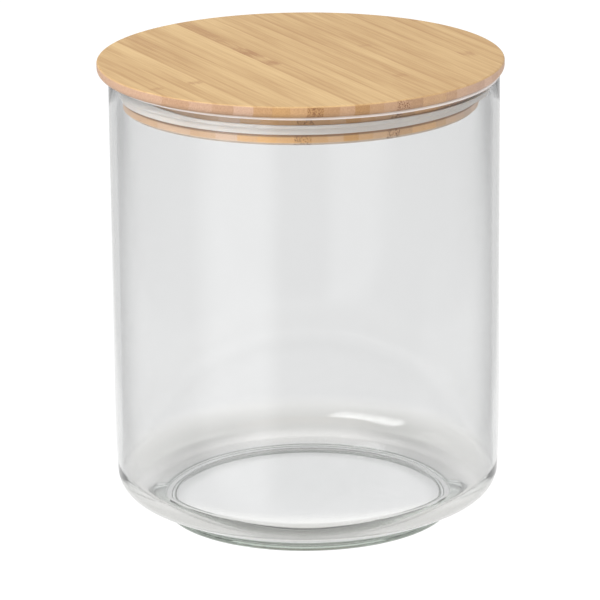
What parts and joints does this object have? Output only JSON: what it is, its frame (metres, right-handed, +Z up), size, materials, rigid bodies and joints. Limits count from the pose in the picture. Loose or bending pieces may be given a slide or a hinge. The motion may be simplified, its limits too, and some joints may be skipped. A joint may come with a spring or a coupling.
{
  "type": "food canister",
  "caption": "Round clear glass canister for dry food, closed by a plug lid of laminated bamboo with a silicone sealing ring.",
  "frame": {"origin": "centre of the ring-shaped foot's underside, on the surface that the canister stands on", "axes": "+Z up along the axis of the jar; the lid's own axis is parallel to it and 1.4 mm towards -X, as far as its soft ring lets it sit; the lid's lamellas run about 63 degrees clockwise from +X in plan, and the pictured side faces -Y"},
  "size_m": [0.1706, 0.1706, 0.197],
  "materials": {
    "clear_glass": "clear polished soda-lime glass",
    "silicone": "soft translucent white silicone",
    "bamboo_light": "sanded and oiled bamboo, pale lamella",
    "bamboo_mid": "sanded and oiled bamboo, mid-tone lamella",
    "bamboo_dark": "sanded and oiled bamboo, darker lamella"
  },
  "bodies": {
    "jar": {"glass_jar": "clear_glass"},
    "seal": {"sealing_ring": "silicone"},
    "lid": {"lid_strip_01": "bamboo_mid", "lid_strip_02": "bamboo_mid", "lid_strip_03": "bamboo_mid", "lid_strip_04": "bamboo_mid", "lid_strip_05": "bamboo_mid", "lid_strip_06": "bamboo_light", "lid_strip_07": "bamboo_mid", "lid_strip_08": "bamboo_dark", "lid_strip_09": "bamboo_light", "lid_strip_10": "bamboo_mid", "lid_strip_11": "bamboo_light", "lid_strip_12": "bamboo_dark", "lid_strip_13": "bamboo_light", "lid_strip_14": "bamboo_dark", "lid_strip_15": "bamboo_mid", "lid_strip_16": "bamboo_light", "lid_strip_17": "bamboo_light", "lid_strip_18": "bamboo_dark", "lid_strip_19": "bamboo_dark", "lid_strip_20": "bamboo_mid", "lid_strip_21": "bamboo_light", "lid_strip_22": "bamboo_light", "lid_strip_23": "bamboo_mid", "lid_strip_24": "bamboo_dark", "lid_strip_25": "bamboo_mid", "lid_strip_26": "bamboo_mid", "lid_strip_27": "bamboo_mid", "lid_strip_28": "bamboo_mid"}
  },
  "joints": [
    {"name": "lid_lift", "type": "slide", "parent": "jar", "child": "seal", "axis": [0, 0, 1], "range_m": [0, 0.08]},
    {"name": "lid_turn", "type": "hinge", "parent": "seal", "child": "lid", "pos_m": [-0.0014, 0, 0.197], "axis": [0, 0, 1], "continuous": true}
  ]
}
